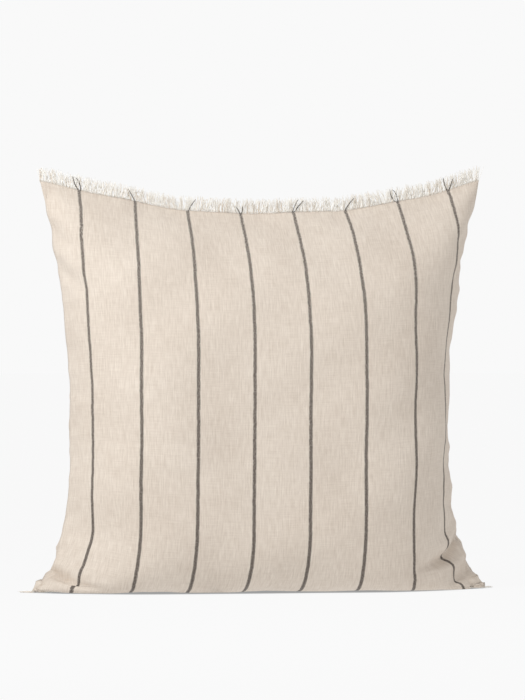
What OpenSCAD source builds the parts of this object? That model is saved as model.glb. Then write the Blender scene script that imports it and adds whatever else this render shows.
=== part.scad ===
// A large square throw pillow standing on its bottom edge: a striped woven cover with a
// fringe of loose warp ends along its top and bottom seams, a zip across the lower back,
// and a stuffed pad inside. Millimetres, +Z up, front towards -Y.
// The origin is on the floor, under the middle of the pillow.

/* [Cover] */
// Width of the cloth between the side seams, laid flat
flat_w = 800; // [760:10:840]
// Height of the cloth between the top and bottom seams, laid flat
flat_h = 800; // [760:10:840]
// Thickness of the cover cloth
cloth_t = 1.2; // [0.9:0.1:1.4]
// Length of the loose warp ends beyond the top and bottom seams
fringe_len = 25; // [15:1:30]
// Thickness of one layer of fringe
fringe_t = 1.1; // [0.8:0.1:1.1]
// Diameter of the sewing thread in the seams
thread_d = 0.8; // [0.5:0.1:0.8]

/* [Standing shape] */
// How far the front crown stands out from the seam
crown_front = 155; // [150:5:175]
// How far the back crown stands out from the seam
crown_back = 155; // [150:5:175]
// Thickness that the weight presses flat at the foot
foot_sink = 36; // [20:2:50]
// How far the side seams roll, left one forwards and right one backwards
seam_roll = 18; // [0:1:25]

/* [Pad] */
// Room between the pad and the side and top seams of the cover
pad_room = 9; // [7:1:14]
// Room between the pad's face and the cover's face
pad_gap = 8.5; // [5:0.5:10]
// Thickness of the pad's casing
casing_t = 0.8; // [0.5:0.1:1]

/* [Zip] */
// Length of the zip's chain
zip_len = 460; // [400:10:480]
// Height of the zip above the floor
zip_z = 120; // [110:5:130]
// Distance of the cloth's outer face at the zip behind the seam
zip_y = 143; // [138:1:146]
// Width of each zip tape
tape_w = 12; // [10:1:14]
// Thickness of each zip tape
tape_t = 0.7; // [0.5:0.1:0.7]
// Width of the slot between the two folded edges of cloth
slot_w = 10.4; // [10:0.1:12]

/* [Slider] */
// Length of the slider
slider_l = 11; // [10:0.5:13]
// Width of the slider
slider_w = 8.6; // [8.2:0.1:8.8]
// Length of the pull tab from its hinge
pull_l = 24; // [18:1:30]

/* [Hidden] */

FRONT = -1;
BACK = 1;

// Colours
CLOTH = [0.80, 0.74, 0.67];
FRINGE = [0.93, 0.90, 0.85];
THREAD = [0.86, 0.81, 0.73];
CASING = [0.95, 0.94, 0.91];
FILLING = [0.98, 0.97, 0.95];
TAPE = [0.78, 0.72, 0.64];
COIL = [0.72, 0.66, 0.58];
METAL = [0.55, 0.50, 0.42];
LABEL = [0.97, 0.97, 0.96];

// Outline of the standing pillow
waist_half = 0.410 * flat_w;  // half the width at the waist
top_flare = 0.075 * flat_w;   // how much wider each side is at the top corners
foot_flare = 0.0925 * flat_w; // how much wider each side is at the bottom corners
foot_fade = 0.075 * flat_h;   // height over which the bottom flare dies away
top_mid_h = 0.831 * flat_h;   // height of the top seam at its middle
top_rise = 0.064 * flat_h;    // how much higher the top corners are
belly_share = 0.36;           // share of the height where the crown is deepest
foot_square = 2.6;            // squareness of the side profile below the belly
top_square = 2.1;             // squareness of the side profile above the belly
across_foot = 5;              // squareness across the width at the foot
across_top = 3;               // squareness across the width at the top

seam_gap = 0.5;               // half the gap between front and back cloth in a seam
fringe_layer_gap = 0.1;       // clearance beside each fringe layer
fringe_dip = 0.3;             // how far the fringe starts inside the seam's groove
fringe_lift = 2 * fringe_t + 4 * fringe_layer_gap; // room for the fringe under the back cloth
fringe_under = fringe_len + 9; // depth over which the back cloth is lifted
lift_fade = 14;               // depth over which the lifted cloth comes down to the floor

// Zip, measured outwards from the cloth's outer face at zip_y
tape_out = -cloth_t - 0.3;          // outer face of the tapes
tape_in = tape_out - tape_t;        // inner face of the tapes
coil_gap = 0.45;                    // half the gap between the two coils
coil_w = 2.55;                      // width of one coil
coil_h = 1.6;                       // height of one coil
zip_flat_x = zip_len / 2 + 14;      // half the width of the flat strip round the zip
zip_flat_up = 18;                   // height of the flat strip above the zip
zip_flat_down = 46;                 // height of the flat strip below the zip
zip_fade_x = 45;                    // width over which the strip blends into the crown
zip_fade_z = 50;                    // height over which the strip blends into the crown
slot_end_x = zip_len / 2 + 3;       // half the length of the slot's full width
slot_shut_x = zip_len / 2 + 13;     // half the length of the slot where its edges have met
pad_foot_gap = 3;                   // clearance under the pad
filling_gap = 2.5;                    // clearance between the filling and its casing
pad_zip_room = 10;                   // room for the slider between the zip and the pad
stitch_off = 9;                     // distance of the zip's stitching from its middle
stitch_r = 0.3;
slider_x = zip_len / 2 + 0.1 - slider_l / 2; // middle of the slider, its nose at the top stops
slider_run = 0.3;                   // clearance between the slider and the tapes
slider_r = 1.6;                     // rounding of the slider's plates
slider_taper = 0.8;                 // how much narrower each side of the slider's tail is
plate_t = 1.0;                      // thickness of the slider's plates
plate_out = 0.35;                   // underside of the slider's outer plate
wedge_l = 3.6;                      // length of the wedge between the plates
wedge_w = 0.6;                      // width of the wedge, less than the gap between the coils
rail_l = 7;                         // length of the rails
rail_w = 0.9;                       // width of the rails
rail_in = tape_out + 0.4;           // inner edge of the rails
bridge_l = 4.2;                     // length of the bridge that holds the pull tab
bridge_w = 2.4;                     // width of the bridge
bridge_h = 1.9;                     // height of the gap under the bridge
bridge_t = 0.9;                     // thickness of the bridge
hinge_out = plate_out + plate_t + 1.0; // axis of the pull tab
bar_r = 0.6;                        // radius of the pull tab's bar
tab_t = 1.1;                        // thickness of the pull tab
tab_r = 2.2;                        // rounding of the pull tab's end
loop_l = 4.6;                       // length of the pull tab's loop
loop_w = 6.0;                       // width of the pull tab's loop
loop_gap = 3.4;                     // width of the gap in the loop

// Grid counts
GRID_U = 30;
SIDE_U = 6;
GRID_S = 26;
LOWER_S = 12;
UPPER_S = 20;
PAD_U = 22;
PAD_S = 18;

function mix(a, b, t) = a + (b - a) * t;
function clamp01(t) = max(0, min(1, t));
function ease(t) = let (c = clamp01(t)) c * c * (3 - 2 * c);
// 1 inside |x| < flat, falling to 0 over fade
function plateau(x, flat, fade) = 1 - ease((abs(x) - flat) / fade);
function sgn_pow(x, e) = sign(x) * pow(abs(x), e);

// Height of the top seam at u, from -1 at the left to 1 at the right
function top_z(u) = top_mid_h + top_rise * pow(abs(u), 2.2);
// Half the width of the outline at height z
function half_w(z) =
    let (v = z / (top_mid_h + top_rise))
    waist_half + top_flare * pow(clamp01((v - 0.4) / 0.6), 2) + foot_flare * exp(-z / foot_fade);
// How far behind the origin plane the seam lies at x
function seam_y(x) = seam_roll * pow(x / (waist_half + top_flare), 3);

// One point of a skin of the pillow. side is FRONT or BACK, u runs from -1 to 1 across,
// phi from -90 at the bottom seam to 90 at the top seam. base is the distance from the
// seam's middle at the edge, crown the distance at the crown; inset, lift and drop take
// the outline in at the sides, bottom and top; zip_in is the distance inside the zip's
// plane; under is how far the cloth is lifted over the fringe.
function skin(side, u, phi, base, crown, inset, lift, drop, zip_in, under) =
    let (
        low = phi < 0,
        square = low ? foot_square : top_square,
        depth = pow(max(0, cos(phi)), 2 / square),
        rise = sgn_pow(sin(phi), 2 / square),
        tz = top_z(u),
        belly = belly_share * tz,
        raw = low ? (belly + foot_sink) * (1 + rise) - foot_sink : belly + (tz - belly) * rise,
        z0 = max(0, raw),
        squareness = mix(across_foot, across_top, ease(z0 / belly)),
        across = sqrt(max(0, 1 - pow(abs(u), squareness))),
        d = base + (crown - base) * depth * across,
        z1 = lift + z0 * (tz - lift - drop) / tz,
        x = u * (half_w(z1) - inset),
        z = z1 + under * (1 - ease((d - fringe_under) / lift_fade)) * (1 - ease(z0 / 6)),
        above = z - zip_z,
        strip = side == BACK
            ? plateau(x, zip_flat_x, zip_fade_x)
              * (above > 0 ? plateau(above, zip_flat_up, zip_fade_z)
                           : plateau(above, zip_flat_down, zip_fade_z / 2))
            : 0,
        y = seam_y(x) + side * d
    )
    [x, mix(y, zip_y - zip_in, strip), z];

// The cover's skins
function cover_out(side, u, phi) =
    skin(side, u, phi, cloth_t + seam_gap, side == FRONT ? crown_front : crown_back,
         0, 0, 0, 0, side == BACK ? fringe_lift : 0);
function cover_in(side, u, phi) =
    skin(side, u, phi, seam_gap, (side == FRONT ? crown_front : crown_back) - cloth_t,
         cloth_t, cloth_t, cloth_t, cloth_t, side == BACK ? fringe_lift : 0);

// The pad's skins, deep being how far inside the pad's outer face they lie
function pad_skin(side, u, phi, deep, base) =
    skin(side, u, phi, base,
         (side == FRONT ? crown_front : crown_back) - cloth_t - pad_gap - deep,
         cloth_t + pad_room + deep, cloth_t + fringe_lift + pad_foot_gap + deep,
         cloth_t + pad_room + deep,
         pad_zip_room + deep, 0);

// Columns crowd towards the side seams, where the cloth turns over
function column(i, n) = sin(90 * (2 * i / n - 1));
// The cover's columns also have one at each end of the slot, and one where it has closed
function cover_column(i) =
    i > GRID_U / 2 ? -cover_column(GRID_U - i)
    : i <= SIDE_U ? -mix(1, slot_shut_x / half_w(zip_z), 1 - cos(90 * i / SIDE_U))
    : mix(-slot_end_x / half_w(zip_z), 0, (i - SIDE_U - 1) / (GRID_U / 2 - SIDE_U - 1));
// Rows from phi a to phi b
function row(j, n, a, b) = a + (b - a) * j / n;

// Triangles of an n by m grid of points that starts at index first
function grid_faces(n, m, first, flip) = [
    for (j = [0 : m - 1]) for (i = [0 : n - 1])
        let (a = first + j * (n + 1) + i, b = a + 1, c = a + n + 1, d = c + 1)
        each flip ? [[a, b, d], [a, d, c]] : [[a, d, b], [a, c, d]]
];
// Indices round the edge of an n by m grid
function grid_rim(n, m) = concat(
    [for (i = [0 : n - 1]) i],
    [for (j = [0 : m - 1]) j * (n + 1) + n],
    [for (i = [n : -1 : 1]) m * (n + 1) + i],
    [for (j = [m : -1 : 1]) j * (n + 1)]
);

// The solid between two grids of points. facing is FRONT when the outer grid's rows go up
// and it faces -Y.
module between(outer, inner, n, m, facing) {
    rim = grid_rim(n, m);
    k = len(rim);
    off = len(outer);
    polyhedron(
        points = concat(outer, inner),
        faces = concat(
            grid_faces(n, m, 0, facing == BACK),
            grid_faces(n, m, off, facing != BACK),
            [for (i = [0 : k - 1])
                let (a = rim[i], b = rim[(i + 1) % k])
                each facing == BACK
                    ? [[a, a + off, b + off], [a, b + off, b]]
                    : [[a, b + off, a + off], [a, b, b + off]]]
        )
    );
}

// A tube of a few sides along a list of points, each ring square to the path and turned
// alike about it; the path never runs along up
module tube(path, r, sides, up = [0, 1, 0]) {
    n = len(path);
    dirs = [for (i = [0 : n - 1])
        let (d = path[min(i + 1, n - 1)] - path[max(i - 1, 0)]) d / norm(d)];
    rings = [for (i = [0 : n - 1])
        let (
            a = cross(dirs[i], up) / norm(cross(dirs[i], up)),
            b = cross(dirs[i], a)
        )
        each [for (k = [0 : sides - 1])
            path[i] + r * (cos(360 * k / sides) * a + sin(360 * k / sides) * b)]];
    polyhedron(
        points = rings,
        faces = concat(
            [[for (k = [0 : sides - 1]) k]],
            [for (i = [0 : n - 2]) for (k = [0 : sides - 1])
                let (a = i * sides + k, b = i * sides + (k + 1) % sides)
                each [[a, a + sides, b + sides], [a, b + sides, b]]],
            [[for (k = [sides - 1 : -1 : 0]) (n - 1) * sides + k]]
        )
    );
}

// The angle phi at which the skin at u reaches a height z below its belly
function phi_at(z, u) =
    let (belly = belly_share * top_z(u), share = (z + foot_sink) / (belly + foot_sink))
    -asin(pow(1 - share, foot_square / 2));

module front_panel() {
    color(CLOTH)
        between(
            [for (j = [0 : GRID_S]) for (i = [0 : GRID_U])
                cover_out(FRONT, cover_column(i), row(j, GRID_S, -90, 90))],
            [for (j = [0 : GRID_S]) for (i = [0 : GRID_U])
                cover_in(FRONT, cover_column(i), row(j, GRID_S, -90, 90))],
            GRID_U, GRID_S, FRONT);
}

// Half the gap between the two back panels at x: the zip's slot, or a closed seam beyond it
function back_gap(x) = mix(0.4, slot_w / 2, plateau(x, slot_end_x, slot_shut_x - slot_end_x));
// A point of the back cloth, on its outer or inner face
function back_point(u, phi, deep) = deep ? cover_in(BACK, u, phi) : cover_out(BACK, u, phi);
// The edge of a back panel at u, above the zip for side 1 and below it for side -1
function slot_edge(u, side, deep) =
    let (p = back_point(u, phi_at(zip_z, u), deep)) [p.x, p.y, zip_z + side * back_gap(p.x)];

module back_panel_upper() {
    function points(deep) = [for (j = [0 : UPPER_S]) for (i = [0 : GRID_U])
        let (u = cover_column(i), phi = row(j - 1, UPPER_S - 1, phi_at(zip_z + slot_w, u), 90))
        j == 0 ? slot_edge(u, 1, deep) : back_point(u, phi, deep)];
    color(CLOTH) between(points(false), points(true), GRID_U, UPPER_S, BACK);
}

// Its rows run downwards, from the zip to the bottom seam, so its faces turn the other way
module back_panel_lower() {
    function points(deep) = [for (j = [LOWER_S : -1 : 0]) for (i = [0 : GRID_U])
        let (u = cover_column(i), phi = row(j, LOWER_S - 1, -90, phi_at(zip_z - slot_w, u)))
        j == LOWER_S ? slot_edge(u, -1, deep) : back_point(u, phi, deep)];
    color(CLOTH) between(points(false), points(true), GRID_U, LOWER_S, FRONT);
}

// A layer of fringe standing on the top seam, between near and far from the seam's middle
module top_fringe(near, far) {
    function points(d) = [for (h = [-fringe_dip, fringe_len]) for (i = [0 : GRID_U])
        let (u = cover_column(i), z = top_z(u), x = u * half_w(z))
        [x, seam_y(x) + d, z + h]];
    color(FRINGE) between(points(near), points(far), GRID_U, 1, FRONT);
}
module top_fringe_front() { top_fringe(-fringe_layer_gap - fringe_t, -fringe_layer_gap); }
module top_fringe_back() { top_fringe(fringe_layer_gap, fringe_layer_gap + fringe_t); }

// A layer of fringe folded flat under the back of the foot, bottom face at height low
module bottom_fringe(low) {
    edge = [for (i = [0 : GRID_U]) let (x = cover_column(i) * half_w(0)) [x, seam_y(x)]];
    color(FRINGE)
        translate([0, 0, low])
            linear_extrude(fringe_t)
                polygon(concat(
                    [for (p = edge) [p.x, p.y - fringe_dip]],
                    [for (i = [GRID_U : -1 : 0]) [edge[i].x, edge[i].y + fringe_len]]
                ));
}
module bottom_fringe_front() { bottom_fringe(0); }
module bottom_fringe_back() { bottom_fringe(fringe_t + fringe_layer_gap); }

module top_seam_thread() {
    color(THREAD)
        tube([for (i = [1 : GRID_U - 1])
            let (u = cover_column(i), z = top_z(u), x = u * half_w(z))
            [x, seam_y(x), z - cloth_t + 0.2]], thread_d / 2, 4);
}

module bottom_seam_thread() {
    color(THREAD)
        tube([for (i = [1 : GRID_U - 1])
            let (x = cover_column(i) * half_w(0))
            [x, seam_y(x), fringe_lift + cloth_t - 0.4]], thread_d / 2, 4);
}

// The thread down one side seam, in the groove between the front and back cloth
module side_seam_thread(side) {
    color(THREAD)
        tube([for (j = [6 : GRID_S - 1])
            let (p = cover_out(FRONT, side, row(j, GRID_S, -90, 90)), x = p.x - side * (cloth_t - 0.2))
            [x, seam_y(x), p.z]], thread_d / 2, 4);
}
module left_seam_thread() { side_seam_thread(-1); }
module right_seam_thread() { side_seam_thread(1); }

module pad_casing(side) {
    function points(deep, base) = [for (j = [0 : PAD_S]) for (i = [0 : PAD_U])
        pad_skin(side, column(i, PAD_U), row(j, PAD_S, -90, 90), deep, base)];
    color(CASING)
        between(points(0, casing_t + seam_gap), points(casing_t, seam_gap), PAD_U, PAD_S, side);
}
module pad_casing_front() { pad_casing(FRONT); }
module pad_casing_back() { pad_casing(BACK); }

// One thread runs up both sides of the pad and over its top, closing it
module pad_seam_thread() {
    edge = concat(
        [for (j = [4 : PAD_S - 1]) pad_skin(BACK, -1, row(j, PAD_S, -90, 90), 0, 0)],
        [for (i = [1 : PAD_U - 1]) pad_skin(BACK, column(i, PAD_U), 90, 0, 0)],
        [for (j = [PAD_S - 1 : -1 : 4]) pad_skin(BACK, 1, row(j, PAD_S, -90, 90), 0, 0)]
    );
    color(THREAD) tube([for (p = edge) [p.x, seam_y(p.x), p.z]], 0.3, 4);
}

module pad_filling() {
    function points(side) = [for (j = [0 : PAD_S]) for (i = [0 : PAD_U])
        pad_skin(side, column(i, PAD_U), row(j, PAD_S, -90, 90), casing_t + filling_gap, seam_gap / 2)];
    color(FILLING) between(points(FRONT), points(BACK), PAD_U, PAD_S, FRONT);
}

// A box from x0 to x1, out0 to out1 outside the zip's plane, z0 to z1 from its middle
module zip_box(x0, x1, out0, out1, z0, z1) {
    translate([x0, zip_y + out0, zip_z + min(z0, z1)])
        cube([x1 - x0, out1 - out0, abs(z1 - z0)]);
}

module zip_tape(side) {
    color(TAPE)
        zip_box(-zip_len / 2 - 8, zip_len / 2 + 8, tape_in, tape_out,
                side * (coil_gap + 0.55), side * (coil_gap + 0.55 + tape_w));
}
module zip_tape_upper() { zip_tape(1); }
module zip_tape_lower() { zip_tape(-1); }

// A row of teeth: a bar with a rounded outer side that stands on the tape
module zip_coil(side) {
    color(COIL)
        translate([-zip_len / 2, zip_y + tape_out, zip_z + side * (coil_gap + coil_w / 2)])
            rotate([90, 0, 90])
                linear_extrude(zip_len)
                    intersection() {
                        circle(r = coil_h, $fn = 32);
                        translate([0, -coil_w / 2]) square([coil_h, coil_w]);
                    }
}
module zip_coil_upper() { zip_coil(1); }
module zip_coil_lower() { zip_coil(-1); }

// Small blocks pinched on the ends of both coils
module zip_top_stops() {
    color(METAL)
        for (side = [-1, 1])
            zip_box(zip_len / 2 + 0.3, zip_len / 2 + 3.3, tape_out + 0.02, coil_h + tape_out + 0.2,
                    side * coil_gap, side * (coil_gap + coil_w + 0.4));
}

module zip_bottom_stop() {
    color(METAL)
        zip_box(-zip_len / 2 - 3.8, -zip_len / 2 - 0.3, tape_out + 0.02, coil_h + tape_out + 0.3, -3.2, 3.2);
}

// A row of top-stitching along one side of the zip
module zip_stitching(side) {
    color(THREAD)
        translate([-zip_len / 2 - 5, zip_y + stitch_r + 0.02, zip_z + side * stitch_off])
            rotate([0, 90, 0])
                cylinder(h = zip_len + 10, r = stitch_r, $fn = 16);
}
module zip_stitching_upper() { zip_stitching(1); }
module zip_stitching_lower() { zip_stitching(-1); }

// The seams that close the back beyond both ends of the zip
module zip_end_threads() {
    start = slot_shut_x + 1;
    reach = half_w(zip_z) - 3;
    color(THREAD)
        for (side = [-1, 1])
            tube([for (k = [0 : 8])
                let (
                    x = side * mix(start, reach, k / 8),
                    u = x / half_w(zip_z),
                    y = cover_out(BACK, u, phi_at(zip_z, u)).y
                )
                [x, y - cloth_t / 2, zip_z]], stitch_r, 4, up = [0, 0, 1]);
}

// A blank folded ribbon that hangs inside the cover from the lower tape
module care_label() {
    color(LABEL)
        zip_box(-zip_len / 2 + 40, -zip_len / 2 + 70, tape_in - 0.9, tape_in - 0.3, -8, -34);
}

// Outline of the slider's plates: wide at the nose, where the chain opens, narrow behind
module slider_outline() {
    hull() {
        for (side = [-1, 1]) {
            translate([slider_l / 2 - slider_r, side * (slider_w / 2 - slider_r)])
                circle(r = slider_r, $fn = 24);
            translate([slider_r - slider_l / 2, side * (slider_w / 2 - slider_taper - slider_r)])
                circle(r = slider_r, $fn = 24);
        }
    }
}

// Turns a shape drawn with Z outwards and X along the zip to face outwards from the zip
module on_zip(x) {
    translate([x, zip_y, zip_z]) rotate([-90, 0, 0]) children();
}

module zip_slider() {
    inner_plate = tape_in - slider_run - plate_t;
    color(METAL)
        on_zip(slider_x) {
            // the outer and the inner plate
            translate([0, 0, plate_out]) linear_extrude(plate_t) slider_outline();
            translate([0, 0, inner_plate]) linear_extrude(plate_t) slider_outline();
            // the wedge that parts the coils joins them at the nose
            translate([slider_l / 2 - wedge_l - 1, -wedge_w / 2, inner_plate + plate_t / 2])
                cube([wedge_l, wedge_w, plate_out - inner_plate]);
            // the rails along the outsides of the coils
            for (side = [-1, 1])
                translate([1 - rail_l / 2, side * (slider_w - rail_w) / 2 - rail_w / 2, rail_in])
                    cube([rail_l, rail_w, plate_out + plate_t / 2 - rail_in]);
            // the bridge that holds the pull tab
            translate([-bridge_l / 2, -bridge_w / 2, plate_out + plate_t / 2])
                difference() {
                    cube([bridge_l, bridge_w, plate_t / 2 + bridge_h + bridge_t]);
                    translate([bridge_t, -1, 0])
                        cube([bridge_l - 2 * bridge_t, bridge_w + 2, plate_t / 2 + bridge_h]);
                }
        }
}

// The pull tab lies along the closed chain, its bar under the slider's bridge
module zip_pull_tab() {
    color(METAL)
        on_zip(slider_x)
            translate([0, 0, hinge_out]) {
                rotate([90, 0, 0]) cylinder(h = loop_w - 0.6, r = bar_r, center = true, $fn = 32);
                translate([0, 0, -tab_t / 2])
                    linear_extrude(tab_t)
                        difference() {
                            hull() {
                                translate([-loop_l, -loop_w / 2]) square([loop_l + tab_t / 2, loop_w]);
                                translate([tab_r - pull_l, 0]) circle(r = tab_r, $fn = 32);
                            }
                            translate([-loop_l, -loop_gap / 2]) square([2 * loop_l, loop_gap]);
                            translate([tab_r + 0.4 - pull_l, 0]) circle(r = tab_r / 2, $fn = 24);
                        }
            }
}

front_panel();
back_panel_upper();
back_panel_lower();
top_fringe_front();
top_fringe_back();
bottom_fringe_front();
bottom_fringe_back();
top_seam_thread();
bottom_seam_thread();
left_seam_thread();
right_seam_thread();
pad_casing_front();
pad_casing_back();
pad_seam_thread();
pad_filling();
zip_tape_upper();
zip_tape_lower();
zip_coil_upper();
zip_coil_lower();
zip_top_stops();
zip_bottom_stop();
zip_stitching_upper();
zip_stitching_lower();
zip_end_threads();
care_label();
zip_slider();
zip_pull_tab();
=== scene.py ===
"""A large striped throw pillow with fringed edges, standing on its bottom seam.

The cover is simulated as cloth: two square sheets, sewn together along their edges, are
filled, weighed down and set on the floor. The result becomes the cloth panels, and the
fringe, seams, stitches, zip teeth and inner pad are built on it.
"""
import math

import bmesh
import bpy
import numpy as np
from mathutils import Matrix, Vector


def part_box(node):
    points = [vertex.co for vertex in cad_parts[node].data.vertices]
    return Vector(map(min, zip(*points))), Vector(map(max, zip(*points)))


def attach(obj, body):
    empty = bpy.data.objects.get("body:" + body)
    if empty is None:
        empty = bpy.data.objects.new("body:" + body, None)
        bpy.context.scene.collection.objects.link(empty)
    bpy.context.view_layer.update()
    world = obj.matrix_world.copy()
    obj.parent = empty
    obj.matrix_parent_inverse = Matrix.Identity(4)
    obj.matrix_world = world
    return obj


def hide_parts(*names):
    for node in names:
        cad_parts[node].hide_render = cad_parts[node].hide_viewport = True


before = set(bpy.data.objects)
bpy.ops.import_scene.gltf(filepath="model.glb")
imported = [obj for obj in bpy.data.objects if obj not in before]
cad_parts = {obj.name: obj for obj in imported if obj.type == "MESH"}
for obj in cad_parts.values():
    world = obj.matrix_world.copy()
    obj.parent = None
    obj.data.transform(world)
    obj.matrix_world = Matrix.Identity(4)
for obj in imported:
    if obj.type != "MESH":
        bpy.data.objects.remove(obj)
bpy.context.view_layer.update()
rng = np.random.default_rng(11)

# ---------------------------------------------------------------- sizes, in metres
FLAT = 0.8                     # the cover cloth between its seams, both ways
CLOTH_T = 0.0012               # thickness of the cover cloth
FRINGE_LEN = 0.025             # loose warp ends beyond the top and bottom seams
STRIPES = 8
STRIPE_STEP = 0.0965           # from the middle of one stripe to the next
STRIPE_SHIFT = 0.003           # how far the stripes sit towards the right seam
STRIPE_W = 0.0064
YARN_STEP = 0.00125            # pitch of the cloth's yarns

# the zip's place comes from the frame
coil_lo, coil_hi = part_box("zip_coil_upper")
stitch_lo, stitch_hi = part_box("zip_stitching_upper")
ZIP_Z = (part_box("zip_coil_lower")[1][2] + coil_lo[2]) / 2
ZIP_Y = stitch_lo[1] - 0.00002     # outer face of the cloth beside the zip
ZIP_HALF = coil_hi[0]              # half the length of the zip's chain
SLOT_HALF_W = 0.0052               # half the width of the slot between the cloth's edges
STITCH_OFF = (stitch_lo[2] + stitch_hi[2]) / 2 - ZIP_Z

FOOT_HALF_W, _, TOP_CORNER_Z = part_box("front_panel")[1]

# the four edge lines of a grid of points
EDGES = ((0, slice(None)), (-1, slice(None)), (slice(None), 0), (slice(None), -1))


# ---------------------------------------------------------------- cloth simulation
LEVELS = (20, 40, 80, 160)         # cells along each side of the cloth, coarse to fine
STEPS = (300, 200, 130, 90)
PUSHES = (0.012, 0.005, 0.002, 0.0009)
ZIP_ROW = 0.275                    # share of the cloth's height that lies below the zip
WAIST_HALF_W = 0.333
TOP_FLARE = 0.058                  # how much wider each side is at the top corners than at the waist
FLARE_FROM = 0.4                   # share of the height above which the sides flare
FOOT_FADE = 0.068                  # height over which the flare of the foot dies away
SEAM_ROLL = 0.018                  # how far the right seam lies behind the middle, and the left before it,
ROLL_X = 0.388                     # at this distance from the middle
CORNER_DROP = 0.009                # how far the sewn top corners lie below the CAD's
TOP_SAG = 0.057                    # how far the top seam sags between its corners
RIGHT_LIFT = 0.005                 # how much higher the right corner is held than the left
TOP_SHARE = 0.976                  # how much of its flat width the top seam keeps
TOP_GATHER = 0.022                 # how much more of it is lost between the corners
TOP_SHIFT = 0.008                  # how far the seam is drawn to the right between them
HEM_Z = 0.003                      # height of the bottom seam above the floor
FACE_DEPTH = 0.145                 # how far from the seams the filling lets the faces stand out
HEAD = 0.5                         # how much more the filling presses at the foot than at the top
HEAD_Z = 0.7                       # height above which it presses no less
LEAST_GAP = 0.003                  # between the front and the back cloth
ZIP_BAND = 0.010                   # how far above and below the zip the cloth is held flat


def outline_half_w(z):
    """Half the width that the side seams are drawn in to, at height z."""
    share = z / TOP_CORNER_Z
    top = TOP_FLARE * np.clip((share - FLARE_FROM) / (1 - FLARE_FROM), 0, 1) ** 2
    return WAIST_HALF_W + top + (FOOT_HALF_W - WAIST_HALF_W) * np.exp(-z / FOOT_FADE)


def top_z(x):
    """Height of the top seam at a place x across the flat cloth."""
    across = 2 * x / FLAT
    sag = TOP_SAG * (1 - np.abs(across) ** 2.2)
    return TOP_CORNER_Z - CORNER_DROP - sag + RIGHT_LIFT * np.clip(across, 0, 1) ** 3


def top_x(x):
    """Where the top seam holds it: a little gathered and drawn to the right, but for the corners."""
    inner = 1 - (2 * x / FLAT) ** 6
    return x * (TOP_SHARE - TOP_GATHER * inner) + TOP_SHIFT * inner


def seam_roll(x):
    """How far behind the middle the seams lie at x; the left ones lie before it."""
    return SEAM_ROLL * (x / ROLL_X) ** 3


def first_guess(n):
    """A smooth pillow of n cells along each side: front and back cloth, as (2, rows, columns, 3)."""
    u, v = np.meshgrid(np.linspace(-1, 1, n + 1), np.linspace(0, 1, n + 1))
    z = HEM_Z + v * (0.66 + 0.05 * u ** 2)
    bulge = 0.15 * np.sqrt(1 - u ** 4) * np.sqrt(np.clip(np.sin(np.pi * v ** 0.85), 0, 1))
    x = u * outline_half_w(z)
    return np.stack([np.stack([x, side * bulge, z], -1) for side in (-1, 1)])


def refine(p):
    """The same cloth with twice as many cells each way."""
    n = p.shape[1] - 1
    q = np.zeros((2, 2 * n + 1, 2 * n + 1, 3))
    q[:, ::2, ::2] = p
    q[:, 1::2, ::2] = (p[:, 1:] + p[:, :-1]) / 2
    q[:, :, 1::2] = (q[:, :, :-1:2] + q[:, :, 2::2]) / 2
    return q


def area_normals(p):
    """Outward normal at each point, as long as the area that the point stands for."""
    du, dv = np.gradient(p, axis=2), np.gradient(p, axis=1)
    normal = np.cross(du, dv)
    normal[1] *= -1
    return normal


def pull(p, a, b, rest, stretch, squeeze):
    """Draws the points p[a] and p[b] towards their rest distance."""
    d = p[b] - p[a]
    length = np.sqrt((d * d).sum(-1)) + 1e-12
    off = length - rest
    d *= (np.where(off > 0, stretch, squeeze) * 0.5 * off / length)[..., None]
    p[a] += d
    p[b] -= d


def bend(p, axis, k):
    """Draws each point towards the middle of its two neighbours along one axis of the grid."""
    lo, mid, hi = [slice(None)] * 4, [slice(None)] * 4, [slice(None)] * 4
    lo[axis], mid[axis], hi[axis] = slice(0, -2), slice(1, -1), slice(2, None)
    lo, mid, hi = tuple(lo), tuple(mid), tuple(hi)
    c = k * ((p[lo] + p[hi]) / 2 - p[mid])
    p[mid] += c
    p[lo] -= c / 2
    p[hi] -= c / 2


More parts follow.
